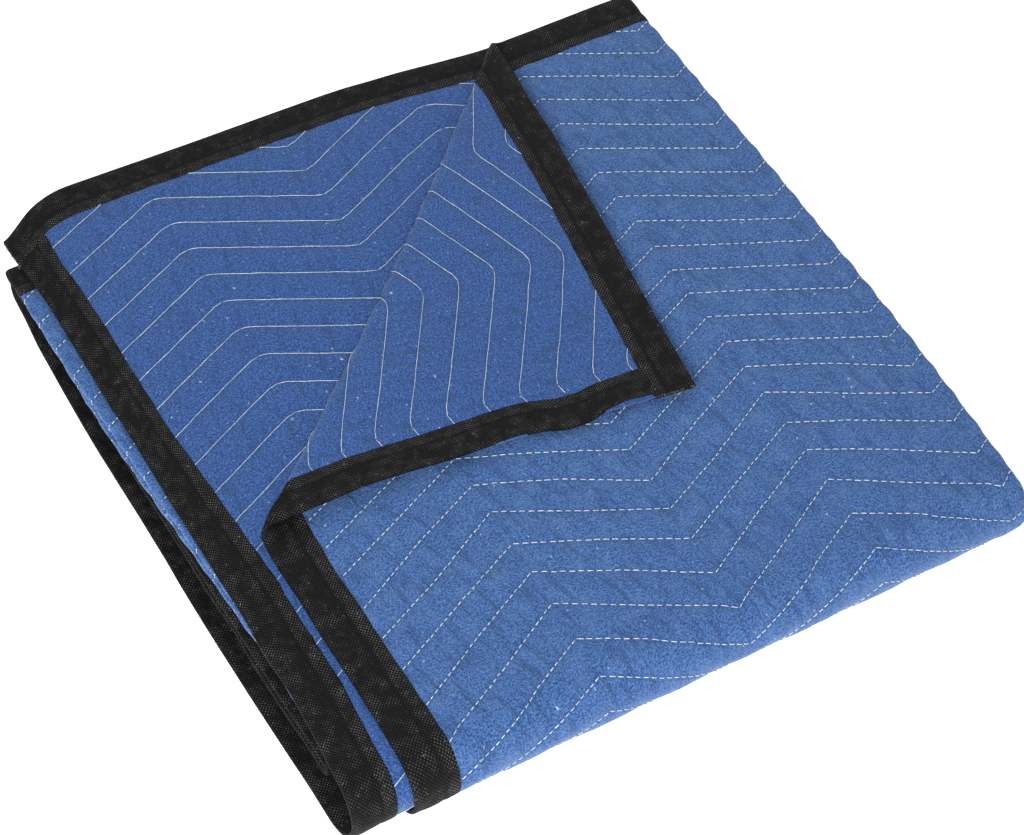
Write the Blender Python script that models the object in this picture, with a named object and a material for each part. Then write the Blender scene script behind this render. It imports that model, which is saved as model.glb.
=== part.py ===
"""Quilted moving blanket, folded to sixteen layers with one corner of the top layer turned back.

The cloth is drawn flat, u across its quilting rows' length and v from its first end, and every point is
then carried to its place in the folded stack. Millimetres inside, metres in the finished meshes.
"""
import math
import bpy
from mathutils import Vector
from mathutils.geometry import delaunay_2d_cdt

MM = 0.001

PAD_BLUE = (0.068, 0.166, 0.434)
TAPE_BLACK = (0.012, 0.012, 0.014)

# Cloth and binding, in millimetres
PAD_THICK = 2.8
BOUND_THICK = 1.2
LAYER_PITCH = 3.2
GAP = 0.3
TAPE_THICK = 0.5
SIDE_TAPE_WIDE = 29.0
END_TAPE_WIDE = 26.0
TAPE_ROUND = 0.7
QUILT_DEPTH = 0.7

# Quilting rows: a zigzag repeated at one pitch
ROW_PITCH = 24.6
ROW_SHOULDER = 5.0
ZIG_SPAN = 101.6
ZIG_RISE = 48.0
# Columns: layer, a near turn of its zigzag, one of its rows at a far turn, where its rows stop showing
QUILTED = {
    "a": {"turn": 31.0, "row": 455.0, "end": 531.0},
    "d": {"turn": 1530.6, "row": 33.9, "end": 330.0},
}

# Runs between the folds, across the rows' length: top, second from the bottom up, and so on
U_RUNS = {"a": 447.0, "b": 490.0, "c": 490.0, "d": 482.0}
V_RUNS = {"top": 471.0, "base": 443.0, "third": 416.0, "second": 405.0}

BUNDLE = 4 * LAYER_PITCH
WIDE_BEND = 1.5 * LAYER_PITCH
TIGHT_BEND = 0.5 * LAYER_PITCH
OUTER_TURN = 1.5 * BUNDLE
INNER_TURN = 0.5 * BUNDLE
HALF = PAD_THICK / 2
STACK_HALF = OUTER_TURN + WIDE_BEND + HALF

# Where the stack's edges lie, for each station along the cloth's length. Columns: run of the length,
# share of that run, edge of layer a, edge of layer d, left fold's outside, right fold's outside.
EDGES = [
    ("top", 0.00, -125.5, -177.0, -185.0, 325.0),
    ("top", 0.13, -122.5, -172.5, -184.0, 325.5),
    ("top", 0.42, -125.5, -170.5, -176.5, 324.5),
    ("top", 0.61, -133.5, -169.0, -170.0, 322.5),
    ("top", 0.73, -134.0, -168.0, -165.0, 321.5),
    ("top", 0.90, -133.5, -167.5, -161.0, 317.0),
    ("top", 1.00, -132.0, -170.0, -159.0, 313.5),
    ("base", 0.00, -134.0, -174.0, -159.0, 313.5),
    ("base", 0.30, -148.0, -179.0, -164.0, 318.0),
    ("base", 0.75, -153.0, -183.0, -165.0, 320.0),
    ("base", 1.00, -156.0, -180.5, -165.0, 319.0),
    ("third", 0.00, -158.0, -178.0, -162.0, 317.0),
    ("third", 0.50, -160.0, -174.0, -160.0, 318.0),
    ("third", 1.00, -160.0, -167.5, -158.0, 313.0),
    ("second", 0.00, -160.0, -167.5, -160.0, 313.0),
    ("second", 0.35, -162.0, -173.0, -170.0, 317.0),
    ("second", 0.65, -163.0, -174.0, -180.0, 318.0),
    ("second", 1.00, -164.0, -174.0, -183.0, 317.0),
]

# Far edge of the top run, by layer and share of the layer's own width
FAR_EDGE = [
    ("a", 0.0, 494.0), ("a", 0.5, 502.0), ("a", 1.0, 504.5),
    ("b", 0.0, 504.5), ("b", 1.0, 470.0),
    ("c", 0.0, 470.0), ("c", 1.0, 502.0),
    ("d", 0.0, 503.0), ("d", 0.25, 505.0), ("d", 0.45, 515.5), ("d", 0.905, 517.0), ("d", 0.945, 511.0),
    ("d", 1.0, 489.0),
]
NEAR_TURN_Y = 28.5
NEAR_TURN_SKEW = -0.02
FAR_TURN_Y = 473.5
INNER_TURN_Y = 57.0
SECOND_END_Y = 462.0
FOOTPRINT_CENTRE = (70.26, 257.76)

# The turned-back corner: its crease in plan, the bend there, and how the flap lies over the top layer
CREASE_LOW = Vector((-134.0, 202.0))
CREASE_HIGH = Vector((202.0, 501.0))
CREASE_BOW = -4.5
BEND_LOW = 4.0
BEND_HIGH = 5.0
# How high the flap lies above the layer it rests on. Columns: way back from the bend, height where the
# crease is lowest on the stack, height at its other end.
FLAP_LIE = [
    (0.0, 2 * BEND_LOW, 2 * BEND_HIGH),
    (22.0, 10.5, 9.5),
    (45.0, 12.0, 9.0),
    (70.0, 11.5, 8.5),
    (90.0, 9.5, 8.0),
    (115.0, 6.5, 7.5),
    (140.0, 5.0, 7.5),
    (170.0, 4.5, 7.0),
    (200.0, 8.0, 8.0),
    (225.0, 8.0, 8.0),
]


def mix(a, b, share):
    return a + (b - a) * share


def table(rows, at):
    """Straight-line reading of rows of (place, value)."""
    for (low, a), (high, b) in zip(rows, rows[1:]):
        if at <= high:
            return mix(a, b, (at - low) / (high - low) if high > low else 0.0)
    return rows[-1][1]


def lay_out(names, runs, bends):
    """Start of every run and of the bend after it, along one direction of the flat cloth."""
    starts = {}
    at = 0.0
    for name, bend in zip(names, bends + [0.0]):
        starts[name] = at
        at += runs[name] + math.pi * bend
    return starts, at


U_START, U_ALL = lay_out("abcd", U_RUNS, [WIDE_BEND, TIGHT_BEND, TIGHT_BEND])
V_NAMES = ["top", "base", "third", "second"]
V_START, V_ALL = lay_out(V_NAMES, V_RUNS, [OUTER_TURN, INNER_TURN, INNER_TURN])

EDGE_AT = [V_START[run] + share * V_RUNS[run] for run, share, *_ in EDGES]
SIDE_A, SIDE_D, LEFT_FOLD, RIGHT_FOLD = (
    [(at, row[column]) for at, row in zip(EDGE_AT, EDGES)] for column in (2, 3, 4, 5))
FAR_ROWS = [(U_START[run] + share * U_RUNS[run], y) for run, share, y in FAR_EDGE]


def across(u, v):
    """Place across the stack: x, height in the bundle of four, and the face's direction in (x, height)."""
    right = table(RIGHT_FOLD, v) - WIDE_BEND - HALF
    left = table(LEFT_FOLD, v) + TIGHT_BEND + HALF
    for name in "dcba":
        if u >= U_START[name]:
            break
    along = u - U_START[name]
    share = along / U_RUNS[name]
    past = along - U_RUNS[name]
    if name == "a":
        if past <= 0:
            return mix(table(SIDE_A, v), right, share), WIDE_BEND, (0.0, 1.0)
        turn = past / WIDE_BEND
        sin, cos = math.sin(turn), math.cos(turn)
        return right + WIDE_BEND * sin, WIDE_BEND * cos, (sin, cos)
    if name == "b":
        if past <= 0:
            return mix(right, left, share), -WIDE_BEND, (0.0, -1.0)
        turn = past / TIGHT_BEND
        sin, cos = math.sin(turn), math.cos(turn)
        return left - TIGHT_BEND * sin, -LAYER_PITCH - TIGHT_BEND * cos, (-sin, -cos)
    if name == "c":
        if past <= 0:
            return mix(left, right, share), -TIGHT_BEND, (0.0, 1.0)
        turn = past / TIGHT_BEND
        sin, cos = math.sin(turn), math.cos(turn)
        return right + TIGHT_BEND * sin, -TIGHT_BEND * cos, (-sin, cos)
    return mix(right, table(SIDE_D, v), share), TIGHT_BEND, (0.0, -1.0)


def near_turn(x):
    return NEAR_TURN_Y + NEAR_TURN_SKEW * (x - FOOTPRINT_CENTRE[0])


def along_stack(u, v, x):
    """Place along the stack: y, z of the bundle's middle, and the bundle's direction in (y, z)."""
    near = near_turn(x)
    for name in reversed(V_NAMES):
        if v >= V_START[name]:
            break
    along = v - V_START[name]
    share = along / V_RUNS[name]
    past = along - V_RUNS[name]
    if name == "top":
        if past <= 0:
            return mix(table(FAR_ROWS, u), near, share), OUTER_TURN, (0.0, 1.0)
        turn = past / OUTER_TURN
        sin, cos = math.sin(turn), math.cos(turn)
        return near - OUTER_TURN * sin, OUTER_TURN * cos, (-sin, cos)
    if name == "base":
        if past <= 0:
            return mix(near, FAR_TURN_Y, share), -OUTER_TURN, (0.0, -1.0)
        turn = past / INNER_TURN
        sin, cos = math.sin(turn), math.cos(turn)
        return FAR_TURN_Y + INNER_TURN * sin, -BUNDLE - INNER_TURN * cos, (sin, -cos)
    if name == "third":
        if past <= 0:
            return mix(FAR_TURN_Y, INNER_TURN_Y, share), -INNER_TURN, (0.0, 1.0)
        turn = past / INNER_TURN
        sin, cos = math.sin(turn), math.cos(turn)
        return INNER_TURN_Y - INNER_TURN * sin, -INNER_TURN * cos, (sin, cos)
    return mix(INNER_TURN_Y, SECOND_END_Y, share), INNER_TURN, (0.0, -1.0)


CREASE_RUN = (CREASE_HIGH - CREASE_LOW).length
CREASE_WAY = (CREASE_HIGH - CREASE_LOW).normalized()
CREASE_OUT = Vector((-CREASE_WAY.y, CREASE_WAY.x))


def crease_share(x, y):
    return (Vector((x, y)) - CREASE_LOW).dot(CREASE_WAY) / CREASE_RUN


def bend_radius(share):
    return mix(BEND_LOW, BEND_HIGH, min(1.0, max(0.0, share)))


def bend_start(share):
    """Distance of the bend's start from the straight crease, towards the turned-back corner."""
    inside = min(1.0, max(0.0, share))
    return CREASE_BOW * math.sin(math.pi * inside) - math.pi * bend_radius(share) / 2


def flap_height(back, share):
    ends = [table([(row[0], row[column]) for row in FLAP_LIE], back) for column in (1, 2)]
    return mix(*ends, share)


def turn_back(x, y, w):
    """The top layer's point (x, y) at w along its face, once its corner is folded over."""
    share = crease_share(x, y)
    radius = bend_radius(share)
    foot = CREASE_LOW + CREASE_WAY * (share * CREASE_RUN)
    past = (Vector((x, y)) - foot).dot(CREASE_OUT) - bend_start(share)
    if past <= 0:
        return x, y, w
    start = foot + CREASE_OUT * bend_start(share)
    turn = past / radius
    if turn < math.pi:
        sin, cos = math.sin(turn), math.cos(turn)
        plan = start + CREASE_OUT * ((radius - w) * sin)
        return plan.x, plan.y, radius - (radius - w) * cos
    back = past - math.pi * radius
    plan = start - CREASE_OUT * back
    return plan.x, plan.y, flap_height(back, share) - w


def place(u, v, w):
    """Folded place, in metres, of the flat cloth's point (u, v) at w along its face."""
    x, level, (face_x, face_up) = across(u, v)
    y, z, (way_y, way_z) = along_stack(u, v, x)
    if u <= U_RUNS["a"] and v <= V_RUNS["top"]:
        x, y, lift = turn_back(x, y, w)
        z += level + lift
    else:
        x += w * face_x
        y += (level + w * face_up) * way_y
        z += (level + w * face_up) * way_z
    return Vector((x - FOOTPRINT_CENTRE[0], y - FOOTPRINT_CENTRE[1], z + STACK_HALF)) * MM


def zig(u, turn):
    """Share of the zigzag's rise at u, 0 at its far turns and 1 at its near ones."""
    return abs(1 - (u - turn) / ZIG_SPAN % 2)


def quilt_dip(u, v):
    """How far both faces sink at the quilting rows that show."""
    for name, rows in QUILTED.items():
        inside = U_START[name] <= u <= U_START[name] + U_RUNS[name]
        if inside and v <= rows["end"]:
            row = (v - rows["row"] - ZIG_RISE * zig(u, rows["turn"])) / ROW_PITCH
            off = abs(row - round(row)) * ROW_PITCH
            fade = min(1.0, (rows["end"] - v) / ROW_SHOULDER)
            return QUILT_DEPTH * fade * max(0.0, 1 - off / ROW_SHOULDER)
    return 0.0


def clipped(a, b, low, high):
    """The part of the line a to b inside a box, or None."""
    start, end = 0.0, 1.0
    for axis in (0, 1):
        step = b[axis] - a[axis]
        if abs(step) < 1e-9:
            if not low[axis] <= a[axis] <= high[axis]:
                return None
            continue
        shares = sorted(((low[axis] - a[axis]) / step, (high[axis] - a[axis]) / step))
        start = max(start, shares[0])
        end = min(end, shares[1])
    if end - start < 1e-6:
        return None
    return [tuple(min(max(mix(a[k], b[k], share), low[k]), high[k]) for k in (0, 1)) for share in (start, end)]


def bend_lines(starts, runs, names, bends, steps):
    """Stations at even turns round each bend."""
    lines = []
    for name, bend, count in zip(names, bends, steps):
        begin = starts[name] + runs[name]
        lines += [begin + math.pi * bend * step / count for step in range(count + 1)]
    return lines


U_LINES = bend_lines(U_START, U_RUNS, "abc", [WIDE_BEND, TIGHT_BEND, TIGHT_BEND], [6, 4, 4])
V_LINES = bend_lines(V_START, V_RUNS, V_NAMES, [OUTER_TURN, INNER_TURN, INNER_TURN], [10, 6, 6])
V_LINES += [at for at, row in zip(EDGE_AT, EDGES) if 0.0 < row[1] < 1.0]
SKEWED = [((u, 0.0), (u, V_RUNS["top"])) for (u, _), row in zip(FAR_ROWS, FAR_EDGE) if 0.0 < row[1] < 1.0]
CORNER_STEPS = 5
SEARCH_STEPS = 12


def flat_of(x, y):
    """Place on the flat cloth of a point of the top layer, as it lies before its corner is folded."""
    u = v = 0.0
    for _ in range(SEARCH_STEPS):
        side = table(SIDE_A, v)
        u = U_RUNS["a"] * (x - side) / (table(RIGHT_FOLD, v) - WIDE_BEND - HALF - side)
        far = table(FAR_ROWS, u)
        v = V_RUNS["top"] * (far - y) / (far - near_turn(x))
    return u, v


def crease_lines():
    """Lines of the flat cloth at even turns round the corner's bend, and across its flap."""
    lines = []
    offsets = [(turn / CORNER_STEPS, 0.0) for turn in range(CORNER_STEPS + 1)]
    offsets += [(1.0, row[0]) for row in FLAP_LIE[1:]]
    for turned, deeper in offsets:
        points = []
        for step in range(-1, 12):
            share = step / 10
            out = bend_start(share) + math.pi * bend_radius(share) * turned + deeper
            spot = CREASE_LOW + CREASE_WAY * (share * CREASE_RUN) + CREASE_OUT * out
            points.append(flat_of(spot.x, spot.y))
        lines += zip(points, points[1:])
    return lines


def row_lines():
    """The quilting rows that show and their shoulders, as straight runs between the zigzag's turns."""
    lines = []
    for name, rows in QUILTED.items():
        bound = SIDE_TAPE_WIDE + 3 * GAP
        low = (max(U_START[name], bound), END_TAPE_WIDE + 3 * GAP)
        high = (min(U_START[name] + U_RUNS[name], U_ALL - bound), rows["end"])
        for leg in range(-1, 6):
            turn = rows["turn"] + ZIG_SPAN * leg
            for row in range(-20, 21):
                for side in (-ROW_SHOULDER, 0.0, ROW_SHOULDER):
                    ends = []
                    for u in (turn, turn + ZIG_SPAN):
                        rise = ZIG_RISE * zig(u, rows["turn"])
                        ends.append((u, rows["row"] + ROW_PITCH * row + rise + side))
                    part = clipped(*ends, low, high)
                    if part:
                        lines.append(part)
    return lines


def flat_net(low, high, u_lines, v_lines, slanted):
    """Triangles of the flat cloth between low and high, with an edge along every line given."""
    segments = []
    for u in [low[0], high[0]] + u_lines:
        if low[0] <= u <= high[0]:
            segments.append(((u, low[1]), (u, high[1])))
    for v in [low[1], high[1]] + v_lines:
        if low[1] <= v <= high[1]:
            segments.append(((low[0], v), (high[0], v)))
    segments += [part for part in (clipped(a, b, low, high) for a, b in slanted) if part]
    points = [Vector(end) for segment in segments for end in segment]
    pairs = [(2 * k, 2 * k + 1) for k in range(len(segments))]
    spots, _, faces, *_ = delaunay_2d_cdt(points, pairs, [], 0, 0.02)
    return [tuple(spot) for spot in spots], faces


def rim_edges(faces):
    """Edges that one face alone uses, in that face's order."""
    once = {}
    for face in faces:
        for a, b in zip(face, face[1:] + face[:1]):
            if (b, a) in once:
                del once[(b, a)]
            else:
                once[(a, b)] = True
    return list(once)


def finish(name, places, faces, colour, roughness):
    mesh = bpy.data.meshes.new(name)
    mesh.from_pydata(places, [], faces)
    mesh.validate()
    material = bpy.data.materials.new(name)
    material.use_nodes = True
    shader = material.node_tree.nodes["Principled BSDF"]
    shader.inputs["Base Color"].default_value = (*colour, 1.0)
    shader.inputs["Roughness"].default_value = roughness
    shader.inputs["Metallic"].default_value = 0.0
    mesh.materials.append(material)
    piece = bpy.data.objects.new(name, mesh)
    bpy.context.scene.collection.objects.link(piece)
    return piece


def pad_half(u, v):
    """Half of the pad's thickness: thin inside the binding, full outside it, less at the rows."""
    inside = min(min(u, U_ALL - u) - SIDE_TAPE_WIDE, min(v, V_ALL - v) - END_TAPE_WIDE) - GAP
    bound = BOUND_THICK / 2
    if inside <= 1e-4:
        return bound
    return mix(bound, HALF - quilt_dip(u, v), min(1.0, inside / (2 * GAP)))


def make_pad():
    edge = TAPE_THICK + GAP
    side_steps, end_steps = ([wide + GAP, wide + 3 * GAP] for wide in (SIDE_TAPE_WIDE, END_TAPE_WIDE))
    u_lines = U_LINES + side_steps + [U_ALL - step for step in side_steps]
    v_lines = V_LINES + end_steps + [V_ALL - step for step in end_steps]
    low, high = (edge, edge), (U_ALL - edge, V_ALL - edge)
    flat, net = flat_net(low, high, u_lines, v_lines, crease_lines() + row_lines() + SKEWED)
    places = [place(u, v, pad_half(u, v)) for u, v in flat]
    places += [place(u, v, -pad_half(u, v)) for u, v in flat]
    count = len(flat)
    # v runs towards the viewer, so a face that is counter-clockwise in (u, v) looks to the cloth's back
    faces = [tuple(reversed(face)) for face in net]
    faces += [tuple(k + count for k in face) for face in net]
    for a, b in rim_edges(net):
        faces += [(a, b, b + count), (a, b + count, a + count)]
    return finish("quilted_pad", places, faces, PAD_BLUE, 0.95)


def make_tape(name, low, high, from_edge):
    """A binding tape over the cloth's edge; from_edge gives a point's distance in from that edge."""
    inner = TAPE_THICK
    across_u = high[0] - low[0] < high[1] - low[1]
    sign = 1 if from_edge(low) < from_edge(high) else -1
    start = (low if sign > 0 else high)[0 if across_u else 1]
    steps = [start + sign * inner, start + sign * TAPE_ROUND]
    u_lines = U_LINES + (steps if across_u else [])
    v_lines = V_LINES + ([] if across_u else steps)
    flat, net = flat_net(low, high, u_lines, v_lines, crease_lines() + SKEWED)
    outside, inside = HALF, HALF - TAPE_THICK

    def outer_half(spot):
        return outside - max(0.0, 1 - from_edge(spot) / TAPE_ROUND) * TAPE_ROUND

    hollow = [from_edge(spot) > inner - 1e-3 for spot in flat]
    places, index = [], {}
    for sheet, sign_w in (("out", 1), ("out", -1), ("in", 1), ("in", -1)):
        for k, spot in enumerate(flat):
            if sheet == "out" or hollow[k]:
                w = outer_half(spot) if sheet == "out" else inside
                index[sheet, sign_w, k] = len(places)
                places.append(place(*spot, sign_w * w))

    def at(sheet, side, *corners):
        return tuple(index[sheet, side, k] for k in corners)

    faces = []
    for face in net:
        faces.append(at("out", 1, *reversed(face)))
        faces.append(at("out", -1, *face))
        if all(hollow[k] for k in face):
            faces.append(at("in", 1, *face))
            faces.append(at("in", -1, *reversed(face)))
    for a, b in rim_edges(net):
        if hollow[a] and hollow[b]:
            for side in (1, -1):
                ring = at("out", side, a, b) + at("in", side, b, a)
                faces.append(ring if side > 0 else tuple(reversed(ring)))
        elif hollow[a] or hollow[b]:
            ring = at("out", 1, a, b)
            if hollow[b]:
                ring += at("in", 1, b) + at("in", -1, b) + at("out", -1, b, a)
            else:
                ring += at("out", -1, b, a) + at("in", -1, a) + at("in", 1, a)
            faces.append(ring)
        else:
            faces.append(at("out", 1, a, b) + at("out", -1, b, a))
    inner_net = [face for face in net if all(hollow[k] for k in face)]
    rim = set(rim_edges(net))
    for a, b in rim_edges(inner_net):
        if (a, b) not in rim:
            faces.append(at("in", 1, b, a) + at("in", -1, a, b))
    return finish(name, places, faces, TAPE_BLACK, 0.8)


def main():
    for old in list(bpy.data.objects):
        bpy.data.objects.remove(old)
    make_pad()
    side, end = SIDE_TAPE_WIDE, END_TAPE_WIDE
    low, high = end + GAP, V_ALL - end - GAP
    make_tape("side_tape_left", (0.0, low), (side, high), lambda s: s[0])
    make_tape("side_tape_right", (U_ALL - side, low), (U_ALL, high), lambda s: U_ALL - s[0])
    make_tape("end_tape_first", (0.0, 0.0), (U_ALL, end), lambda s: s[1])
    make_tape("end_tape_last", (0.0, V_ALL - end), (U_ALL, V_ALL), lambda s: V_ALL - s[1])


main()
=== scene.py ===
"""Looks of a quilted moving blanket folded to sixteen layers, one corner of the top layer turned back."""
import math
import bpy
import numpy as np
from mathutils import Matrix, Vector


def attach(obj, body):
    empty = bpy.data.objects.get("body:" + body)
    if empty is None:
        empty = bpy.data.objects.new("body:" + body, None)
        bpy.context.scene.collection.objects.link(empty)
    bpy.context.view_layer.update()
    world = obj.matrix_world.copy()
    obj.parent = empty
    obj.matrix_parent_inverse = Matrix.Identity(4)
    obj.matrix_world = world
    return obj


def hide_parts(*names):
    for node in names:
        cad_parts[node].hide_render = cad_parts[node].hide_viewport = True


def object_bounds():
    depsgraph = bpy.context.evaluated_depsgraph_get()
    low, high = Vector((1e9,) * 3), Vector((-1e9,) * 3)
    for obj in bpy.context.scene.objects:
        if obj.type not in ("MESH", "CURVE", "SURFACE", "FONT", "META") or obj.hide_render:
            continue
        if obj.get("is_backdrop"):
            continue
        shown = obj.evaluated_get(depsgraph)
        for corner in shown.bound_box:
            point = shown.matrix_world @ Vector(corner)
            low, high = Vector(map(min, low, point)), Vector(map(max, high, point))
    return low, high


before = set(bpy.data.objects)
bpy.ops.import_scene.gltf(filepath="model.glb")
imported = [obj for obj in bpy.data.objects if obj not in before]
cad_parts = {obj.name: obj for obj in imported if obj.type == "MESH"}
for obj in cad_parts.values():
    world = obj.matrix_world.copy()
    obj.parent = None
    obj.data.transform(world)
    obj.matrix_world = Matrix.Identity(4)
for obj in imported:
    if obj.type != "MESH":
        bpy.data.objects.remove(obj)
cad_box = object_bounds()

# Camera
# A long lens above the near left corner, at the angle of the photograph, rolled a little to the right.
CAMERA_AT = Vector((-0.53491, -0.74883, 1.20908))
CAMERA_AIM = Vector((-0.01116, -0.03502, 0.0254))
CAMERA_ROLL = math.radians(7.02)
CAMERA_LENS = 80.0
camera_data = bpy.data.cameras.new("camera")
camera_data.lens = CAMERA_LENS
camera = bpy.data.objects.new("camera", camera_data)
bpy.context.scene.collection.objects.link(camera)
camera.location = CAMERA_AT
aimed = (CAMERA_AIM - CAMERA_AT).to_track_quat("-Z", "Y").to_matrix()
camera.rotation_euler = (aimed @ Matrix.Rotation(CAMERA_ROLL, 3, "Z")).to_euler()
bpy.context.scene.camera = camera
bpy.context.scene.view_settings.view_transform = "Standard"

# Floor and studio light
# A white sweep under the stack, a soft light low over its near left side and a weaker one from the far right.
FLOOR_WHITE = (0.93, 0.93, 0.93)
bpy.ops.object.select_all(action="DESELECT")
bpy.ops.mesh.primitive_plane_add(size=8.0, location=(0.0, 0.0, 0.0))
floor = bpy.context.object
floor.name = "floor"
floor_paint = bpy.data.materials.new("floor_white")
floor_paint.use_nodes = True
floor_paint.node_tree.nodes["Principled BSDF"].inputs["Base Color"].default_value = (*FLOOR_WHITE, 1.0)
floor_paint.node_tree.nodes["Principled BSDF"].inputs["Roughness"].default_value = 0.9
# The sweep is lit from below too, so that the stack's shadow stays faint
floor_paint.node_tree.nodes["Principled BSDF"].inputs["Emission Color"].default_value = (1.0, 1.0, 1.0, 1.0)
floor_paint.node_tree.nodes["Principled BSDF"].inputs["Emission Strength"].default_value = 0.55
floor.data.materials.append(floor_paint)
floor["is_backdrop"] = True

world = bpy.data.worlds.new("studio")
world.use_nodes = True
world.node_tree.nodes["Background"].inputs["Color"].default_value = (1.0, 1.0, 1.0, 1.0)
world.node_tree.nodes["Background"].inputs["Strength"].default_value = 0.62
bpy.context.scene.world = world

# Columns: name, place, size, power
LIGHTS = [
    ("key_light", (-1.25, -1.2, 1.2), 0.7, 44.0),
    ("fill_light", (1.2, 1.3, 1.5), 1.2, 12.0),
]
for light_name, light_at, light_size, light_power in LIGHTS:
    light_data = bpy.data.lights.new(light_name, "AREA")
    light_data.size = light_size
    light_data.energy = light_power
    light = bpy.data.objects.new(light_name, light_data)
    bpy.context.scene.collection.objects.link(light)
    light.location = light_at
    light.rotation_euler = (-Vector(light_at)).to_track_quat("-Z", "Y").to_euler()

# Quilted pad
# One sheet of felt-like padding between two skins of blue non-woven cloth, sewn through in zigzag rows
# and folded in half twice each way; u runs along its rows and v across them from its first end, in mm.
MM = 0.001
PAD_THICK = 2.8
BOUND_THICK = 1.2
LAYER_PITCH = 3.2
GAP = 0.3
TAPE_THICK = 0.5
U_RUNS = {"a": 447.0, "b": 490.0, "c": 490.0, "d": 482.0}
V_RUNS = {"top": 471.0, "base": 443.0, "third": 416.0, "second": 405.0}
BUNDLE = 4 * LAYER_PITCH
WIDE_BEND = 1.5 * LAYER_PITCH
TIGHT_BEND = 0.5 * LAYER_PITCH
OUTER_TURN = 1.5 * BUNDLE
INNER_TURN = 0.5 * BUNDLE
HALF = PAD_THICK / 2
STACK_HALF = OUTER_TURN + WIDE_BEND + HALF
FOOTPRINT_CENTRE = (70.26, 257.76)

# Where the stack's edges lie. Columns: run of the length, share of that run, edge of layer a, edge of
# layer d, left fold's outside, right fold's outside.
EDGES = [
    ("top", 0.00, -125.5, -177.0, -185.0, 325.0),
    ("top", 0.13, -122.5, -172.5, -184.0, 325.5),
    ("top", 0.42, -125.5, -170.5, -176.5, 324.5),
    ("top", 0.61, -133.5, -169.0, -170.0, 322.5),
    ("top", 0.73, -134.0, -168.0, -165.0, 321.5),
    ("top", 0.90, -133.5, -167.5, -161.0, 317.0),
    ("top", 1.00, -132.0, -170.0, -159.0, 313.5),
    ("base", 0.00, -134.0, -174.0, -159.0, 313.5),
    ("base", 0.30, -148.0, -179.0, -164.0, 318.0),
    ("base", 0.75, -153.0, -183.0, -165.0, 320.0),
    ("base", 1.00, -156.0, -180.5, -165.0, 319.0),
    ("third", 0.00, -158.0, -178.0, -162.0, 317.0),
    ("third", 0.50, -160.0, -174.0, -160.0, 318.0),
    ("third", 1.00, -160.0, -167.5, -158.0, 313.0),
    ("second", 0.00, -160.0, -167.5, -160.0, 313.0),
    ("second", 0.35, -162.0, -173.0, -170.0, 317.0),
    ("second", 0.65, -163.0, -174.0, -180.0, 318.0),
    ("second", 1.00, -164.0, -174.0, -183.0, 317.0),
]
FAR_EDGE = [
    ("a", 0.0, 494.0), ("a", 0.5, 502.0), ("a", 1.0, 504.5),
    ("b", 0.0, 504.5), ("b", 1.0, 470.0),
    ("c", 0.0, 470.0), ("c", 1.0, 502.0),
    ("d", 0.0, 503.0), ("d", 0.25, 505.0), ("d", 0.45, 515.5), ("d", 0.905, 517.0), ("d", 0.945, 511.0),
    ("d", 1.0, 489.0),
]
NEAR_TURN_Y = 28.5
NEAR_TURN_SKEW = -0.02
FAR_TURN_Y = 473.5
INNER_TURN_Y = 57.0
SECOND_END_Y = 462.0

# The turned-back corner. Columns of its lie: way back from the bend, height at the crease's low end and
# at its high end.
CREASE_LOW = np.array([-134.0, 202.0])
CREASE_HIGH = np.array([202.0, 501.0])
CREASE_BOW = -4.5
BEND_LOW = 4.0
BEND_HIGH = 5.0
FLAP_LIE = [
    (0.0, 2 * BEND_LOW, 2 * BEND_HIGH),
    (22.0, 10.5, 9.5),
    (45.0, 12.0, 9.0),
    (70.0, 11.5, 8.5),
    (90.0, 9.5, 8.0),
    (115.0, 6.5, 7.5),
    (140.0, 5.0, 7.5),
    (170.0, 4.5, 7.0),
    (200.0, 8.0, 8.0),
    (225.0, 8.0, 8.0),
]


def lay_out(names, runs, bends):
    """Start of every run, and the whole length with the bends between the runs."""
    starts = {}
    at = 0.0
    for name, bend in zip(names, bends + [0.0]):
        starts[name] = at
        at += runs[name] + math.pi * bend
    return starts, at


U_START, U_ALL = lay_out("abcd", U_RUNS, [WIDE_BEND, TIGHT_BEND, TIGHT_BEND])
V_NAMES = ["top", "base", "third", "second"]
V_START, V_ALL = lay_out(V_NAMES, V_RUNS, [OUTER_TURN, INNER_TURN, INNER_TURN])


def soft_reading(rows, reach):
    """A table of (place, value) rows, read with its corners rounded over a reach."""
    places, values = np.array(rows, float).T
    fine = np.arange(places[0], places[-1] + 2.0, 2.0)
    steps = np.arange(-3 * reach, 3 * reach + 2.0, 2.0)
    weights = np.exp(-(steps / reach) ** 2 / 2)
    read = np.interp(fine[:, None] + steps, places, values) @ (weights / weights.sum())
    return lambda at: np.interp(at, fine, read)


edge_places = [V_START[run] + share * V_RUNS[run] for run, share, *_ in EDGES]
side_a, side_d, left_fold, right_fold = (
    soft_reading([(at, row[column]) for at, row in zip(edge_places, EDGES)], 14.0) for column in (2, 3, 4, 5))
far_edge = soft_reading([(U_START[run] + share * U_RUNS[run], y) for run, share, y in FAR_EDGE], 6.0)


def run_of(at, starts, names):
    """For each place, the number of its run and the way into it."""
    number = np.clip(np.searchsorted([starts[name] for name in names], at, side="right") - 1, 0, 3)
    return number, at - np.array([starts[name] for name in names])[number]


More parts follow.
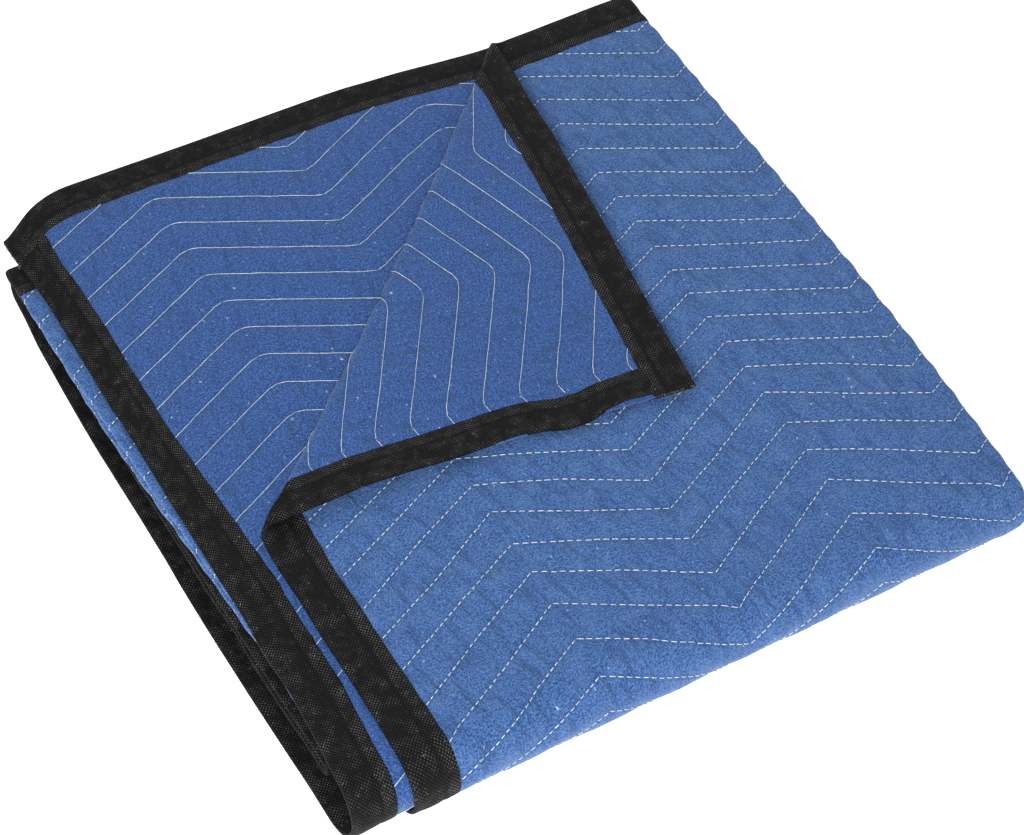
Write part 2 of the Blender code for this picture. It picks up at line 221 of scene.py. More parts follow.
def across(u, v):
    """Place across the stack: x, height in the bundle of four, and the face's direction (x, height)."""
    right = right_fold(v) - WIDE_BEND - HALF
    left = left_fold(v) + TIGHT_BEND + HALF
    ends = np.array([side_a(v), right, left, right, side_d(v)])
    number, along = run_of(u, U_START, "abcd")
    run = np.array(list(U_RUNS.values()))[number]
    spot = np.arange(len(u))
    x = ends[number, spot] + (ends[number + 1, spot] - ends[number, spot]) * np.minimum(along / run, 1.0)
    heading = np.where(number % 2 == 0, 1.0, -1.0)
    level = np.array([WIDE_BEND, -WIDE_BEND, -TIGHT_BEND, TIGHT_BEND])[number]
    radius = np.array([WIDE_BEND, TIGHT_BEND, TIGHT_BEND, 1.0])[number]
    # The first fold turns down, the other two turn up
    down = np.where(number == 0, -1.0, 1.0)
    turn = np.maximum(along - run, 0.0) / radius
    sin, cos = np.sin(turn), np.cos(turn)
    x = x + heading * radius * sin
    level = level + down * radius * (1.0 - cos)
    return x, level, -down * sin, heading * cos


def along_stack(u, v, x):
    """Place along the stack: y, z of the bundle's middle, and the bundle's direction (y, z)."""
    near = NEAR_TURN_Y + NEAR_TURN_SKEW * (x - FOOTPRINT_CENTRE[0])
    same = np.ones(len(u))
    ends = np.array([far_edge(u), near, FAR_TURN_Y * same, INNER_TURN_Y * same, SECOND_END_Y * same])
    number, along = run_of(v, V_START, V_NAMES)
    run = np.array(list(V_RUNS.values()))[number]
    spot = np.arange(len(u))
    y = ends[number, spot] + (ends[number + 1, spot] - ends[number, spot]) * np.minimum(along / run, 1.0)
    heading = np.where(number % 2 == 0, -1.0, 1.0)
    z = np.array([OUTER_TURN, -OUTER_TURN, -INNER_TURN, INNER_TURN])[number]
    radius = np.array([OUTER_TURN, INNER_TURN, INNER_TURN, 1.0])[number]
    down = np.where(number == 0, -1.0, 1.0)
    turn = np.maximum(along - run, 0.0) / radius
    sin, cos = np.sin(turn), np.cos(turn)
    y = y + heading * radius * sin
    z = z + down * radius * (1.0 - cos)
    return y, z, down * sin, -heading * cos


crease_run = float(np.linalg.norm(CREASE_HIGH - CREASE_LOW))
crease_way = (CREASE_HIGH - CREASE_LOW) / crease_run
crease_out = np.array([-crease_way[1], crease_way[0]])


def past_crease(x, y):
    """Share of the way up the crease, the bend's radius and start there, and the way past that start."""
    from_low = np.stack([x, y], -1) - CREASE_LOW
    share = from_low @ crease_way / crease_run
    inside = np.clip(share, 0.0, 1.0)
    radius = BEND_LOW + (BEND_HIGH - BEND_LOW) * inside
    start = CREASE_BOW * np.sin(math.pi * inside) - math.pi * radius / 2
    return share, radius, start, from_low @ crease_out - start


def flap_height(back, share):
    backs, low, high = np.array(FLAP_LIE).T
    low = np.interp(back, backs, low)
    return low + (np.interp(back, backs, high) - low) * share


def turn_back(x, y, w):
    """The top layer's points at w along its face, once its corner is folded over: x, y and lift."""
    share, radius, start, past = past_crease(x, y)
    foot = CREASE_LOW + crease_way * (share * crease_run)[:, None]
    turn = np.clip(past / radius, 0.0, math.pi)
    bent = foot + crease_out * (start + (radius - w) * np.sin(turn))[:, None]
    lift = radius - (radius - w) * np.cos(turn)
    back = past - math.pi * radius
    lying = foot + crease_out * (start - back)[:, None]
    flat = (past <= 0)[:, None]
    over = (back > 0)[:, None]
    plan = np.where(flat, np.stack([x, y], -1), np.where(over, lying, bent))
    lift = np.where(flat[:, 0], w, np.where(over[:, 0], flap_height(np.maximum(back, 0.0), share) - w, lift))
    return plan[:, 0], plan[:, 1], lift


dice = np.random.default_rng(7)
NOISE = dice.random((256, 256))


def noise(x, y, shift=0):
    """Smooth lattice noise from -1 to 1, one lump for each unit."""
    x = np.asarray(x, float) + 31.7 * shift
    y = np.asarray(y, float) + 17.3 * shift
    i, j = np.floor(x).astype(int), np.floor(y).astype(int)
    a, b = x - i, y - j
    a, b = a * a * (3 - 2 * a), b * b * (3 - 2 * b)
    corner = lambda p, q: NOISE[(i + p) % 256, (j + q) % 256]
    low = corner(0, 0) * (1 - a) + corner(1, 0) * a
    high = corner(0, 1) * (1 - a) + corner(1, 1) * a
    return 2 * (low * (1 - b) + high * b) - 1


# The top layer isn't dead flat: it lifts off the layers under it by up to this much, in broad soft swells
SWELL = 1.6
SWELL_WIDE = 62.0


def swell(x, y):
    fade = np.clip((300.0 - x) / 60.0, 0, 1) * np.clip((y - 30.0) / 70.0, 0, 1)
    return SWELL * fade * np.clip(0.25 + noise(x / SWELL_WIDE, y / SWELL_WIDE, 9), 0.0, 1.0)


def place(u, v, w):
    """Folded places, in metres, of the flat cloth's points (u, v) at w along its face."""
    u, v, w = (np.asarray(part, float) for part in (u, v, w))
    x, level, face_x, face_up = across(u, v)
    y, z, way_y, way_z = along_stack(u, v, x)
    top = (u <= U_RUNS["a"]) & (v <= V_RUNS["top"])
    turned_x, turned_y, lift = turn_back(x, y, w)
    out_x = np.where(top, turned_x, x + w * face_x)
    out_y = np.where(top, turned_y, y + (level + w * face_up) * way_y)
    out_z = z + np.where(top, level + lift + swell(turned_x, turned_y), (level + w * face_up) * way_z)
    places = np.stack([out_x - FOOTPRINT_CENTRE[0], out_y - FOOTPRINT_CENTRE[1], out_z + STACK_HALF], -1)
    return places * MM


# Its rows of quilting. Columns: layer, a near turn of its zigzag, one of its rows at a far turn.
ROW_PITCH = 24.6
ZIG_SPAN = 101.6
ZIG_RISE = 48.0
ROW_SETS = {"a": (31.0, 455.0), "c": (132.6, 455.0), "d": (1530.6, 33.9)}
# The right fold's rows belong to layer a, the left fold's to layer c
C_ROWS_FROM = 700.0
# The machine fed the cloth unevenly. Columns: even place of a row on the face, where it was sewn.
FED = [
    (0.0, 0.0), (60.0, 60.0), (110.6, 114.0), (159.8, 164.6), (184.4, 188.9), (209.0, 212.9), (233.6, 235.7),
    (258.2, 257.6), (282.8, 280.5), (307.4, 303.4), (332.0, 326.3), (356.6, 349.2), (381.2, 376.0),
    (405.8, 399.4), (430.4, 424.2), (455.0, 451.8), (479.6, 477.6), (503.0, 495.5), (527.6, 516.0),
    (560.0, 547.0), (2000.0, 1987.0),
]


# Layer d's rows keep straight on past this place, where its far edge turns in
STRAIGHT_FROM = U_START["d"] + 0.88 * U_RUNS["d"]


def zig(u, turn):
    """Share of the zigzag's rise, 0 at its far turns and 1 at its near ones."""
    return np.abs(1 - (u - turn) / ZIG_SPAN % 2)


def reach_ratio(u):
    """How much longer the top run is at u than it would be with its far edge kept straight."""
    return (far_edge(u) - NEAR_TURN_Y) / (far_edge(np.minimum(u, STRAIGHT_FROM)) - NEAR_TURN_Y)


def row_number(u, v):
    """Which quilting row a point is at, as a number that is whole on a row."""
    on_d = u >= U_START["d"]
    turn = np.where(on_d, ROW_SETS["d"][0], np.where(u > C_ROWS_FROM, ROW_SETS["c"][0], ROW_SETS["a"][0]))
    first = np.where(on_d, ROW_SETS["d"][1], ROW_SETS["a"][1])
    even, sewn = np.array(FED).T
    run = V_RUNS["top"]
    straight = np.where(v < run, run - (run - v) * reach_ratio(u), v)
    return (np.where(on_d, straight, np.interp(v, sewn, even)) - first - ZIG_RISE * zig(u, turn)) / ROW_PITCH


# How far the tapes reach in over the pad. Columns: place along the tape, width on the face, on the back.
SIDE_WIDE = [
    (0.0, 31.0, 27.0), (50.0, 34.0, 22.5), (110.0, 33.0, 24.0), (200.0, 34.0, 23.5), (270.0, 30.0, 26.5),
    (330.0, 28.8, 29.6), (420.0, 30.0, 30.0), (480.0, 31.0, 30.0),
    (560.0, 30.0, 29.0), (900.0, 29.0, 29.0), (1870.0, 29.0, 29.0),
]
END_WIDE = [
    (0.0, 29.0, 29.6), (300.0, 29.0, 29.6), (460.0, 28.0, 27.0), (960.0, 26.0, 22.5), (1460.0, 28.0, 24.0),
    (1500.0, 28.0, 24.5), (1940.0, 28.0, 24.5),
]


def tape_wide(table, at, side):
    places, face, back = np.array(table).T
    return np.where(side > 0, np.interp(at, places, face), np.interp(at, places, back))


SEAM_DEEP = 0.3
SEAM_NARROW = 2.6
PILLOW_DEEP = 0.85
PILLOW_WIDE = 6.5
PUCKER = 0.34
LUMP = 0.22
# The rows pull in deeper where they go round the right fold
FOLD_PULL = 0.5
FOLD_AT = U_RUNS["a"] + 4.0

# Creases of the top layer's face, in its flat sizes. Columns: depth (below 0 for a ridge), half width, path.
CREASES = [
    (1.3, 2.2, [(299, 357), (312, 376), (319, 398), (331, 432), (333, 448)]),
    (1.2, 2.2, [(179, 374), (187, 390), (204, 413), (216, 435), (225, 454), (227, 470)]),
    (0.9, 2.0, [(162, 329), (168, 346)]),
    (1.0, 2.0, [(339, 183), (349, 198)]),
    (1.0, 2.0, [(392, 64), (396, 73)]),
    (0.7, 2.4, [(62, 345), (66, 372), (60, 405)]),
    (0.8, 2.2, [(75, 358), (71, 392), (80, 438)]),
    (0.8, 2.4, [(122, 352), (134, 380), (139, 410)]),
    (1.0, 2.4, [(246, 380), (262, 402), (268, 430), (281, 458)]),
    (0.9, 2.2, [(236, 300), (250, 330), (252, 352)]),
    (0.9, 2.4, [(380, 300), (396, 330), (402, 362)]),
    (0.8, 2.4, [(300, 250), (322, 276), (330, 300)]),
    (0.8, 2.2, [(356, 118), (372, 140), (378, 158)]),
    (0.8, 2.2, [(150, 300), (160, 318), (176, 330), (188, 352)]),
    (0.7, 2.2, [(205, 262), (222, 280), (230, 306)]),
    (0.7, 2.2, [(104, 395), (112, 418), (128, 440)]),
    (-0.7, 4.0, [(103, 372), (110, 400), (121, 432)]),
    (-0.7, 4.5, [(280, 340), (290, 372), (300, 410)]),
    (-0.6, 5.0, [(352, 330), (366, 372), (372, 410)]),
    (-0.6, 4.0, [(196, 300), (206, 330), (214, 356)]),
]


def creased(u, v):
    """Depth of the listed creases."""
    deep = np.zeros(len(u))
    near = np.nonzero((u < U_RUNS["a"]) & (v < 500.0))[0]
    spots = np.stack([u[near], v[near]], -1)
    for depth, wide, path in CREASES:
        away = np.full(len(near), 1e9)
        shares = np.zeros(len(near))
        path = np.array(path, float)
        for k, (start, end) in enumerate(zip(path[:-1], path[1:])):
            along = np.clip((spots - start) @ (end - start) / ((end - start) @ (end - start)), 0, 1)
            gap = np.linalg.norm(spots - start - along[:, None] * (end - start), axis=1)
            shares = np.where(gap < away, (k + along) / (len(path) - 1), shares)
            away = np.minimum(away, gap)
        ends = np.clip(4 * shares * (1 - shares) * 1.6, 0.15, 1)
        deep[near] += depth * ends * np.exp(-(away / wide) ** 2)
    return deep


def surface_half(u, v, side):
    """Height of one face of the pad over its middle: thin under the binding, quilted beyond it."""
    side_reach, end_reach = tape_wide(SIDE_WIDE, v, side), tape_wide(END_WIDE, u, side)
    inside = np.minimum(np.minimum(u, U_ALL - u) - side_reach, np.minimum(v, V_ALL - v) - end_reach) + 1.2
    row = row_number(u, v)
    off = np.abs(row - np.round(row)) * ROW_PITCH / math.hypot(1.0, ZIG_RISE / ZIG_SPAN)
    dip = SEAM_DEEP * np.exp(-(off / SEAM_NARROW) ** 2) + PILLOW_DEEP * np.exp(-(off / PILLOW_WIDE) ** 2)
    dip = dip * (1 + FOLD_PULL * np.exp(-((u - FOLD_AT) / 16.0) ** 2))
    pull = PUCKER * noise(u / 8.0 + 0.35 * row, row * 1.1, 1 + side) * np.exp(-(off / 10.0) ** 2)
    lumps = LUMP * noise(u / 10.0, v / 10.0, 4 + side) + 0.12 * noise(u / 4.6, v / 4.6, 6 + side)
    pinch = 0.5 * np.exp(-np.maximum(inside, 0.0) / 4.0)
    full = HALF + 0.1 - dip + pull + np.minimum(lumps, 0.15) - pinch
    if side > 0:
        full = full - creased(u, v)
    bound = BOUND_THICK / 2
    quilted = bound + (np.maximum(full, bound) - bound) * np.clip(inside, 0, 1)
    return np.where(inside <= 0, bound, quilted)


# The pad's net: base lines one hand's breadth of quilting apart, each cell split by what shows of it
BASE_STEP = 27.5
FINE = 32


def base_lines(starts, runs, names, bends, bend_parts, whole):
    edge = TAPE_THICK + GAP
    # Closer lines where the binding ends and the quilting starts
    rim = [21.0, 24.5, 28.0, 31.5, 38.0]
    lines = [edge] + rim
    for name, bend, parts in zip(names, bends + [0.0], bend_parts + [0]):
        begin = max(starts[name], rim[-1])
        end = min(starts[name] + runs[name], whole - rim[-1])
        count = round((end - begin) / BASE_STEP)
        lines += [begin + (end - begin) * step / count for step in range(count + 1)]
        lines += [end + math.pi * bend * step / parts for step in range(1, parts + 1)]
    lines += [whole - way for way in reversed(rim)] + [whole - edge]
    return np.unique(np.round(lines, 4))


u_base = base_lines(U_START, U_RUNS, "abcd", [WIDE_BEND, TIGHT_BEND, TIGHT_BEND], [1, 1, 1], U_ALL)
v_base = base_lines(V_START, V_RUNS, V_NAMES, [OUTER_TURN, INNER_TURN, INNER_TURN], [4, 1, 1], V_ALL)


def splits(side):
    """How often each base cell is halved each way, on the face (side 1) or the back (side -1)."""
    mid_u, mid_v = np.meshgrid((u_base[1:] + u_base[:-1]) / 2, (v_base[1:] + v_base[:-1]) / 2, indexing="ij")
    flat_u, flat_v = mid_u.ravel(), mid_v.ravel()
    shape = mid_u.shape
    x, *_ = across(flat_u, flat_v)
    y, *_ = along_stack(flat_u, flat_v, x)
    *_, past = past_crease(x, y)
    past, x = past.reshape(shape), x.reshape(shape)
    layer, way = (part.reshape(shape) for part in run_of(flat_u, U_START, "abcd"))
    bundle, deep = (part.reshape(shape) for part in run_of(flat_v, V_START, V_NAMES))
    u_bend = way > np.array(list(U_RUNS.values()))[layer]
    v_bend = deep > np.array(list(V_RUNS.values()))[bundle]
    top = bundle == 0
    halved = np.zeros(shape, int)
    if side > 0:
        halved[(layer == 0) & top] = np.where(past < 10, 3, 2)[(layer == 0) & top]
        for _, _, path in CREASES:
            for spot in np.linspace(path[:-1], path[1:], 8).reshape(-1, 2):
                cell = np.searchsorted(u_base, spot[0]) - 1, np.searchsorted(v_base, spot[1]) - 1
                halved[cell] = 4
        halved[(layer == 0) & (bundle == 1)] = 1
    else:
        halved[(layer == 0) & top & (past > -30)] = 3
        halved[(layer == 3) & top & (past > -30)] = 3
    halved[(layer == 0) & top & (np.abs(past) < 40)] = 3
    left_part = x < -140
    halved[left_part & (halved < 2)] = 2
    halved[(x > 290) & (halved < 1)] = 1
    u_split, v_split = halved.copy(), halved.copy()
    u_split[u_bend] = 3
    v_split[v_bend & (bundle == 0)] = np.where((layer == 0) & (side > 0), 2, 1)[v_bend & (bundle == 0)]
    v_split[v_bend & (bundle > 0)] = 3
    rim = np.zeros(shape, bool)
    rim[[0, 1, -1, -2], :] = True
    rim[:, [0, 1, -1, -2]] = True
    bent = rim & (layer == 0) & top & (np.abs(past) < 60)
    plain_u, plain_v = ~u_bend & rim, ~v_bend & rim
    u_split[plain_u] = 0
    v_split[plain_v] = 0
    u_split[bent & ~u_bend] = 3
    v_split[bent & ~v_bend] = 3
    v_split[rim & v_bend & (bundle == 0)] = 1
    return u_split, v_split


def pad_net(side):
    """Corners (fine whole numbers) and faces of one side's net, with no corner left inside an edge."""
    u_split, v_split = splits(side)
    cells_u, cells_v = u_split.shape
    corners, faces = {}, []

    def corner(a, b):
        return corners.setdefault((a, b), len(corners))

    for i in range(cells_u):
        for j in range(cells_v):
            step_u, step_v = FINE >> u_split[i, j], FINE >> v_split[i, j]
            low_u, low_v = i * FINE, j * FINE
            edge_u, edge_v = [], []
            for nj in (j - 1, j + 1):
                other = u_split[i, nj] if 0 <= nj < cells_v else 0
                edge_u.append(FINE >> max(u_split[i, j], other))
            for ni in (i - 1, i + 1):
                other = v_split[ni, j] if 0 <= ni < cells_u else 0
                edge_v.append(FINE >> max(v_split[i, j], other))
            for a in range(low_u, low_u + FINE, step_u):
                for b in range(low_v, low_v + FINE, step_v):
                    below = edge_u[0] if b == low_v else step_u
                    above = edge_u[1] if b + step_v == low_v + FINE else step_u
                    left = edge_v[0] if a == low_u else step_v
                    right = edge_v[1] if a + step_u == low_u + FINE else step_v
                    ring = [corner(p, b) for p in range(a, a + step_u, below)]
                    ring += [corner(a + step_u, q) for q in range(b, b + step_v, right)]
                    ring += [corner(p, b + step_v) for p in range(a + step_u, a, -above)]
                    ring += [corner(a, q) for q in range(b + step_v, b, -left)]
                    faces.append(ring)
    return np.array(list(corners)), faces


def linked(name, places, faces, flat=None):
    """A smooth-shaded mesh object from places in metres, with its flat places as a UV map in metres."""
    mesh = bpy.data.meshes.new(name)
    # What bulges down lies flat on the floor
    places[:, 2] = places[:, 2].clip(0.0)
    mesh.from_pydata(places.tolist(), [], faces)
    mesh.shade_smooth()
    if flat is not None:
        corner_verts = np.zeros(len(mesh.loops), np.int32)
        mesh.loops.foreach_get("vertex_index", corner_verts)
        mesh.uv_layers.new(name="cloth").data.foreach_set("uv", flat[corner_verts].astype(np.float32).ravel())
    piece = bpy.data.objects.new(name, mesh)
    bpy.context.scene.collection.objects.link(piece)
    return piece


def number_attribute(piece, name, values):
    layer = piece.data.attributes.new(name, "FLOAT", "POINT")
    layer.data.foreach_set("value", np.asarray(values, np.float32))


def make_pad():
    places, flats, faces, rows, backs = [], [], [], [], []
    rims = []
    total = 0
    for side in (1, -1):
        corners, net = pad_net(side)
        u = np.interp(corners[:, 0] / FINE, np.arange(len(u_base)), u_base)
        v = np.interp(corners[:, 1] / FINE, np.arange(len(v_base)), v_base)
        places.append(place(u, v, side * surface_half(u, v, side)))
        flats.append(np.stack([u, v], -1) * MM)
        rows.append(row_number(u, v))
        backs.append(np.full(len(u), float(side < 0)))
        # v runs towards the viewer, so rings that are counter-clockwise in (u, v) look to the cloth's back
        faces += [[total + k for k in (reversed(ring) if side > 0 else ring)] for ring in net]
        top_u, top_v = (len(u_base) - 1) * FINE, (len(v_base) - 1) * FINE
        edges = ([sorted((b, a) for a, b in corners.tolist() if a == line) for line in (0, top_u)],
                 [sorted((a, b) for a, b in corners.tolist() if b == line) for line in (0, top_v)])
        number = {tuple(spot): total + k for k, spot in enumerate(corners.tolist())}
        ring = [number[(a, b)] for a, b in edges[1][0]]
        ring += [number[(a, b)] for b, a in edges[0][1]][1:]
        ring += [number[(a, b)] for a, b in reversed(edges[1][1])][1:]
        ring += [number[(a, b)] for b, a in reversed(edges[0][0])][1:-1]
        rims.append(ring)
        total += len(corners)
    face_rim, back_rim = rims
    for k in range(len(face_rim)):
        after = (k + 1) % len(face_rim)
        faces.append([face_rim[k], face_rim[after], back_rim[after], back_rim[k]])
    piece = linked("pad_cloth", np.concatenate(places), faces, np.concatenate(flats))
    number_attribute(piece, "row", np.concatenate(rows))
    number_attribute(piece, "back", np.concatenate(backs))
    return piece


pad = make_pad()
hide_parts("quilted_pad")
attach(pad, "root")


def new_group(name, given, made):
    """A shader node group with named inputs (kind and value) and outputs; its tree, inputs and outputs."""
    tree = bpy.data.node_groups.new(name, "ShaderNodeTree")
    for label, (kind, value) in given.items():
        socket = tree.interface.new_socket(label, in_out="INPUT", socket_type="NodeSocket" + kind)
        if value is not None:
            socket.default_value = value
    for label, kind in made.items():
        tree.interface.new_socket(label, in_out="OUTPUT", socket_type="NodeSocket" + kind)
    return tree, tree.nodes.new("NodeGroupInput").outputs, tree.nodes.new("NodeGroupOutput").inputs


def node(tree, kind, inputs=None, **settings):
    """A node with its settings, and its inputs set or linked; its outputs."""
    made = tree.nodes.new("ShaderNode" + kind)
    for key, value in settings.items():
        setattr(made, key, value)
    for key, value in (inputs or {}).items():
        if isinstance(value, bpy.types.NodeSocket):
            tree.links.new(value, made.inputs[key])
        else:
            made.inputs[key].default_value = value
    return made.outputs


def maths(tree, operation, *values, clamp=False):
    return node(tree, "Math", dict(enumerate(values)), operation=operation, use_clamp=clamp)[0]


def vector_maths(tree, operation, *values):
    return node(tree, "VectorMath", dict(enumerate(values)), operation=operation)[0]


def spread(tree, value, low, high, to_low=0.0, to_high=1.0):
    """A value's range low to high carried to another range, and held there."""
    inputs = {"Value": value, "From Min": low, "From Max": high, "To Min": to_low, "To Max": to_high}
    return node(tree, "MapRange", inputs)["Result"]


def tint(tree, share, under, over, blend="MIX"):
    """A colour over another by a share."""
    mixed = tree.nodes.new("ShaderNodeMix")
    mixed.data_type = "RGBA"
    mixed.blend_type = blend
    for socket, value in ((mixed.inputs["Factor"], share), (mixed.inputs[6], under), (mixed.inputs[7], over)):
        if isinstance(value, bpy.types.NodeSocket):
            tree.links.new(value, socket)
        else:
            socket.default_value = value if socket.type == "VALUE" else (*value, 1.0)
    return mixed.outputs[2]


# Felt fibres: short strokes that lie one way in one patch and another way in the next
felt_group, taken, given_out = new_group(
    "felt_fibres", {"Place": ("Vector", None), "Size": ("Float", 1.0)}, {"Shade": "Float", "Patch": "Float"})
sized = vector_maths(felt_group, "SCALE", taken["Place"])
felt_group.links.new(taken["Size"], sized.node.inputs["Scale"])
bent = node(felt_group, "TexNoise", {"Vector": sized, "Scale": 70.0, "Detail": 1.0})["Color"]
bent = vector_maths(felt_group, "SUBTRACT", bent, (0.5, 0.5, 0.5))
bent = vector_maths(felt_group, "MULTIPLY", bent, (0.006,) * 3)
bent = vector_maths(felt_group, "ADD", sized, bent)
strokes = []
for turn, long_scale, fine_scale in ((0.35, 300.0, 950.0), (-0.6, 330.0, 900.0), (1.4, 360.0, 1000.0)):
    turned = node(felt_group, "VectorRotate", {"Vector": bent, "Angle": turn}, rotation_type="Z_AXIS")[0]
    drawn = vector_maths(felt_group, "MULTIPLY", turned, (long_scale, fine_scale, 1.0))
    strokes.append(node(felt_group, "TexNoise", {"Vector": drawn, "Scale": 1.0, "Detail": 2.0})["Fac"])
patch = node(felt_group, "TexNoise", {"Vector": sized, "Scale": 55.0, "Detail": 2.0})["Fac"]
one = spread(felt_group, patch, 0.42, 0.5)
two = spread(felt_group, patch, 0.52, 0.6)
first_two = node(felt_group, "Mix", {0: one, 2: strokes[0], 3: strokes[1]}, data_type="FLOAT")[0]
all_three = node(felt_group, "Mix", {0: two, 2: first_two, 3: strokes[2]}, data_type="FLOAT")[0]
grain = node(felt_group, "TexNoise", {"Vector": sized, "Scale": 950.0, "Detail": 2.0})["Fac"]
stroked = maths(felt_group, "MULTIPLY", all_three, 0.40)
felt_group.links.new(maths(felt_group, "MULTIPLY_ADD", grain, 0.60, stroked), given_out["Shade"])
felt_group.links.new(patch, given_out["Patch"])

# Lint: pale specks, one in some of the cells of a loose net, each its own size
lint_group, taken, given_out = new_group(
    "lint",
    {"Place": ("Vector", None), "Cells": ("Float", 150.0), "Share": ("Float", 0.3), "Speck": ("Float", 0.2)},
    {"Mask": "Float"})
wrung = node(lint_group, "TexNoise", {"Vector": taken["Place"], "Scale": 420.0, "Detail": 1.0})["Color"]
wrung = vector_maths(lint_group, "SUBTRACT", wrung, (0.5,) * 3)
wrung = vector_maths(lint_group, "MULTIPLY", wrung, (0.003,) * 3)
wrung = vector_maths(lint_group, "ADD", taken["Place"], wrung)
cells = node(lint_group, "TexVoronoi", {"Vector": wrung, "Scale": taken["Cells"]})
chance = node(lint_group, "SeparateColor", {"Color": cells["Color"]})
kept = maths(lint_group, "LESS_THAN", chance[0], taken["Share"])
reach = maths(lint_group, "MULTIPLY", taken["Speck"], spread(lint_group, chance[1], 0.0, 1.0, 0.35, 1.0))
inside = spread(lint_group, maths(lint_group, "DIVIDE", cells["Distance"], reach), 0.4, 1.0, 1.0, 0.0)
bright = spread(lint_group, chance[2], 0.0, 1.0, 0.3, 1.0)
lint_group.links.new(maths(lint_group, "MULTIPLY", maths(lint_group, "MULTIPLY", inside, kept), bright),
                     given_out["Mask"])


def group_node(tree, group, **inputs):
    made = tree.nodes.new("ShaderNodeGroup")
    made.node_tree = group
    for key, value in inputs.items():
        if isinstance(value, bpy.types.NodeSocket):
            tree.links.new(value, made.inputs[key])
        else:
            made.inputs[key].default_value = value
    return made.outputs


FACE_BLUE = (0.058, 0.138, 0.345)
FACE_DEEP = (0.014, 0.046, 0.150)
FACE_PALE = (0.135, 0.240, 0.455)
BACK_BLUE = (0.038, 0.100, 0.300)
BACK_DEEP = (0.011, 0.038, 0.140)
LINT_WHITE = (0.45, 0.55, 0.72)

cloth = bpy.data.materials.new("padding_cloth")
cloth.use_nodes = True
tree = cloth.node_tree
shader = tree.nodes["Principled BSDF"]
place_on = node(tree, "UVMap", uv_map="cloth")["UV"]
row_at = node(tree, "Attribute", attribute_name="row")["Fac"]
back_at = node(tree, "Attribute", attribute_name="back")["Fac"]
felt = group_node(tree, felt_group, Place=place_on, Size=1.0)
specks = group_node(tree, lint_group, Place=place_on, Cells=210.0, Share=0.36, Speck=0.19)["Mask"]
flecks = group_node(tree, lint_group, Place=place_on, Cells=80.0, Share=0.28, Speck=0.12)["Mask"]
broad = node(tree, "TexNoise", {"Vector": place_on, "Scale": 70.0, "Detail": 4.0, "Roughness": 0.6})["Fac"]
# Troughs a few mm wide, most of them along the cloth's length, pressed in by the bump and darkened with
# painted shade
slanted = node(tree, "VectorRotate", {"Vector": place_on, "Angle": 0.22}, rotation_type="Z_AXIS")[0]
drawn_out = vector_maths(tree, "MULTIPLY", slanted, (170.0, 38.0, 1.0))
trough = node(tree, "TexNoise", {"Vector": drawn_out, "Scale": 1.0, "Detail": 3.0, "Roughness": 0.55})["Fac"]
trough = spread(tree, trough, 0.33, 0.47, 1.0, 0.0)
shade = spread(tree, felt["Shade"], 0.42, 0.55)
blue = tint(tree, shade, FACE_DEEP, FACE_BLUE)
blue = tint(tree, spread(tree, broad, 0.47, 0.72, 0.0, 0.22), blue, FACE_PALE)
blue = tint(tree, spread(tree, felt["Shade"], 0.56, 0.72, 0.0, 0.8), blue, FACE_PALE)
back_blue = tint(tree, shade, BACK_DEEP, BACK_BLUE)
back_blue = tint(tree, spread(tree, felt["Shade"], 0.55, 0.72, 0.0, 0.7), back_blue, FACE_PALE)
blue = tint(tree, back_at, blue, back_blue)
# Painted shade: the troughs are darkened towards the deep blue
blue = tint(tree, maths(tree, "MULTIPLY", trough, 0.42), blue, FACE_DEEP)
# Painted shade: the cloth is darkened along each quilting row, in the valley its seam pulls in
from_row = maths(tree, "PINGPONG", row_at, 0.5)
near_row = spread(tree, from_row, 0.0, 0.13, 1.0, 0.0)
blue = tint(tree, maths(tree, "MULTIPLY", near_row, 0.35), blue, FACE_DEEP)
lint = maths(tree, "MAXIMUM", specks, flecks)
blue = tint(tree, maths(tree, "MULTIPLY", lint, 0.75), blue, LINT_WHITE)
tree.links.new(blue, shader.inputs["Base Color"])
tree.links.new(spread(tree, felt["Shade"], 0.3, 0.7, 0.98, 0.86), shader.inputs["Roughness"])
shader.inputs["Specular IOR Level"].default_value = 0.2
shader.inputs["Sheen Weight"].default_value = 0.25
shader.inputs["Sheen Roughness"].default_value = 0.5
shader.inputs["Sheen Tint"].default_value = (0.62, 0.76, 1.0, 1.0)
fluff = maths(tree, "MULTIPLY_ADD", lint, 0.4, felt["Shade"])
fluff = maths(tree, "MULTIPLY_ADD", near_row, -0.5, fluff)
fluff = maths(tree, "MULTIPLY_ADD", trough, -1.3, fluff)
raised = node(tree, "Bump", {"Height": fluff, "Strength": 0.6, "Distance": 0.0012})["Normal"]
tree.links.new(raised, shader.inputs["Normal"])
pad.data.materials.append(cloth)

# Quilting thread
# Pale spun thread in the zigzag rows: single stitches with small gaps on the face, and on the back the
# looper's thread, which lies along the row almost unbroken.
FACE_STITCHES = {"falling": (5.6, 4.3), "rising": (4.6, 3.4)}
FACE_THREAD = 0.36
BACK_THREAD = 0.25
BACK_STEP = 3.2
THREAD_PROUD = 0.30
# The looper's thread cuts the corners of the turns a little
ROUNDING = [(-6.0, 0.25), (0.0, 0.5), (6.0, 0.25)]


